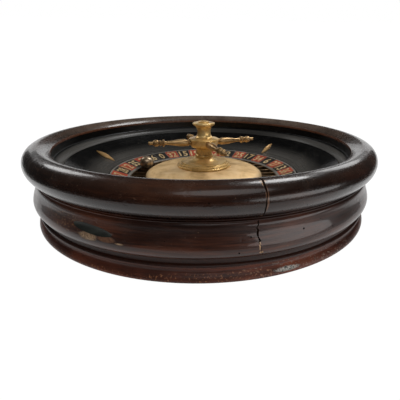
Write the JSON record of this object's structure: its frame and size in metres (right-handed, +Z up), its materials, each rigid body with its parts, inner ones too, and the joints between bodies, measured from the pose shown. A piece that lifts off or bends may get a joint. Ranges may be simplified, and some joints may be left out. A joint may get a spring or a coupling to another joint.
{
  "type": "roulette wheel",
  "caption": "Antique table roulette wheel: turned mahogany bowl with a black ball track, free-spinning wheelhead with number ring and pockets, brass turret with turned arms, and a loose ball",
  "frame": {"origin": "on the wheel's axis, at the height of the table that the foot stands on", "axes": "+Z up along the axis that the wheelhead turns on; +X to the right and +Y away from someone who looks at the side in the picture"},
  "size_m": [0.4998, 0.4998, 0.1224],
  "materials": {
    "mahogany": "dark red-brown stain under worn polish",
    "black_finish": "black satin lacquer, rubbed grey where the ball runs",
    "pale_wood": "bare planed wood",
    "number_paint": "aged red and black paint with gold numerals",
    "gilt": "worn gilding",
    "brass": "aged satin brass",
    "fret_brass": "dull aged brass",
    "pocket_black": "blackened metal",
    "steel": "plain steel",
    "ball_bronze": "polished brown metal"
  },
  "bodies": {
    "bowl": {"rim_ring": "mahogany", "belly_ring": "mahogany", "base_ring": "mahogany", "ball_track": "black_finish", "apron": "black_finish", "bottom_board": "pale_wood", "board_screw_1": "steel", "board_screw_2": "steel", "board_screw_3": "steel", "board_screw_4": "steel", "board_screw_5": "steel", "board_screw_6": "steel", "deflector_1": "gilt", "deflector_2": "gilt", "deflector_3": "gilt", "spindle_flange": "steel", "flange_screw_1": "steel", "flange_screw_2": "steel", "flange_screw_3": "steel", "spindle": "steel", "spindle_nut": "steel", "thrust_ball": "steel"},
    "wheelhead": {"wheelhead_disc": "pale_wood", "ring_bed": "black_finish", "number_ring": "number_paint", "pocket_pan": "pocket_black", "fret_ring": "fret_brass", "cone": "brass", "turret_base": "brass", "turret_stem": "brass", "turret_hub": "brass", "arm_1": "brass", "arm_2": "brass", "arm_3": "brass", "arm_4": "brass", "turret_spool": "brass", "turret_cap": "brass", "bearing_bush": "brass", "bush_screw_1": "steel", "bush_screw_2": "steel", "bush_screw_3": "steel", "turret_rod": "steel"},
    "ball": {"ball": "ball_bronze"}
  },
  "joints": [
    {"name": "wheelhead_spin", "type": "hinge", "parent": "bowl", "child": "wheelhead", "pos_m": [0, 0, 0], "axis": [0, 0, 1], "continuous": true},
    {"name": "ball_lift", "type": "slide", "parent": "wheelhead", "child": "ball", "axis": [0, 0, 1], "range_m": [0, 0.1]}
  ]
}
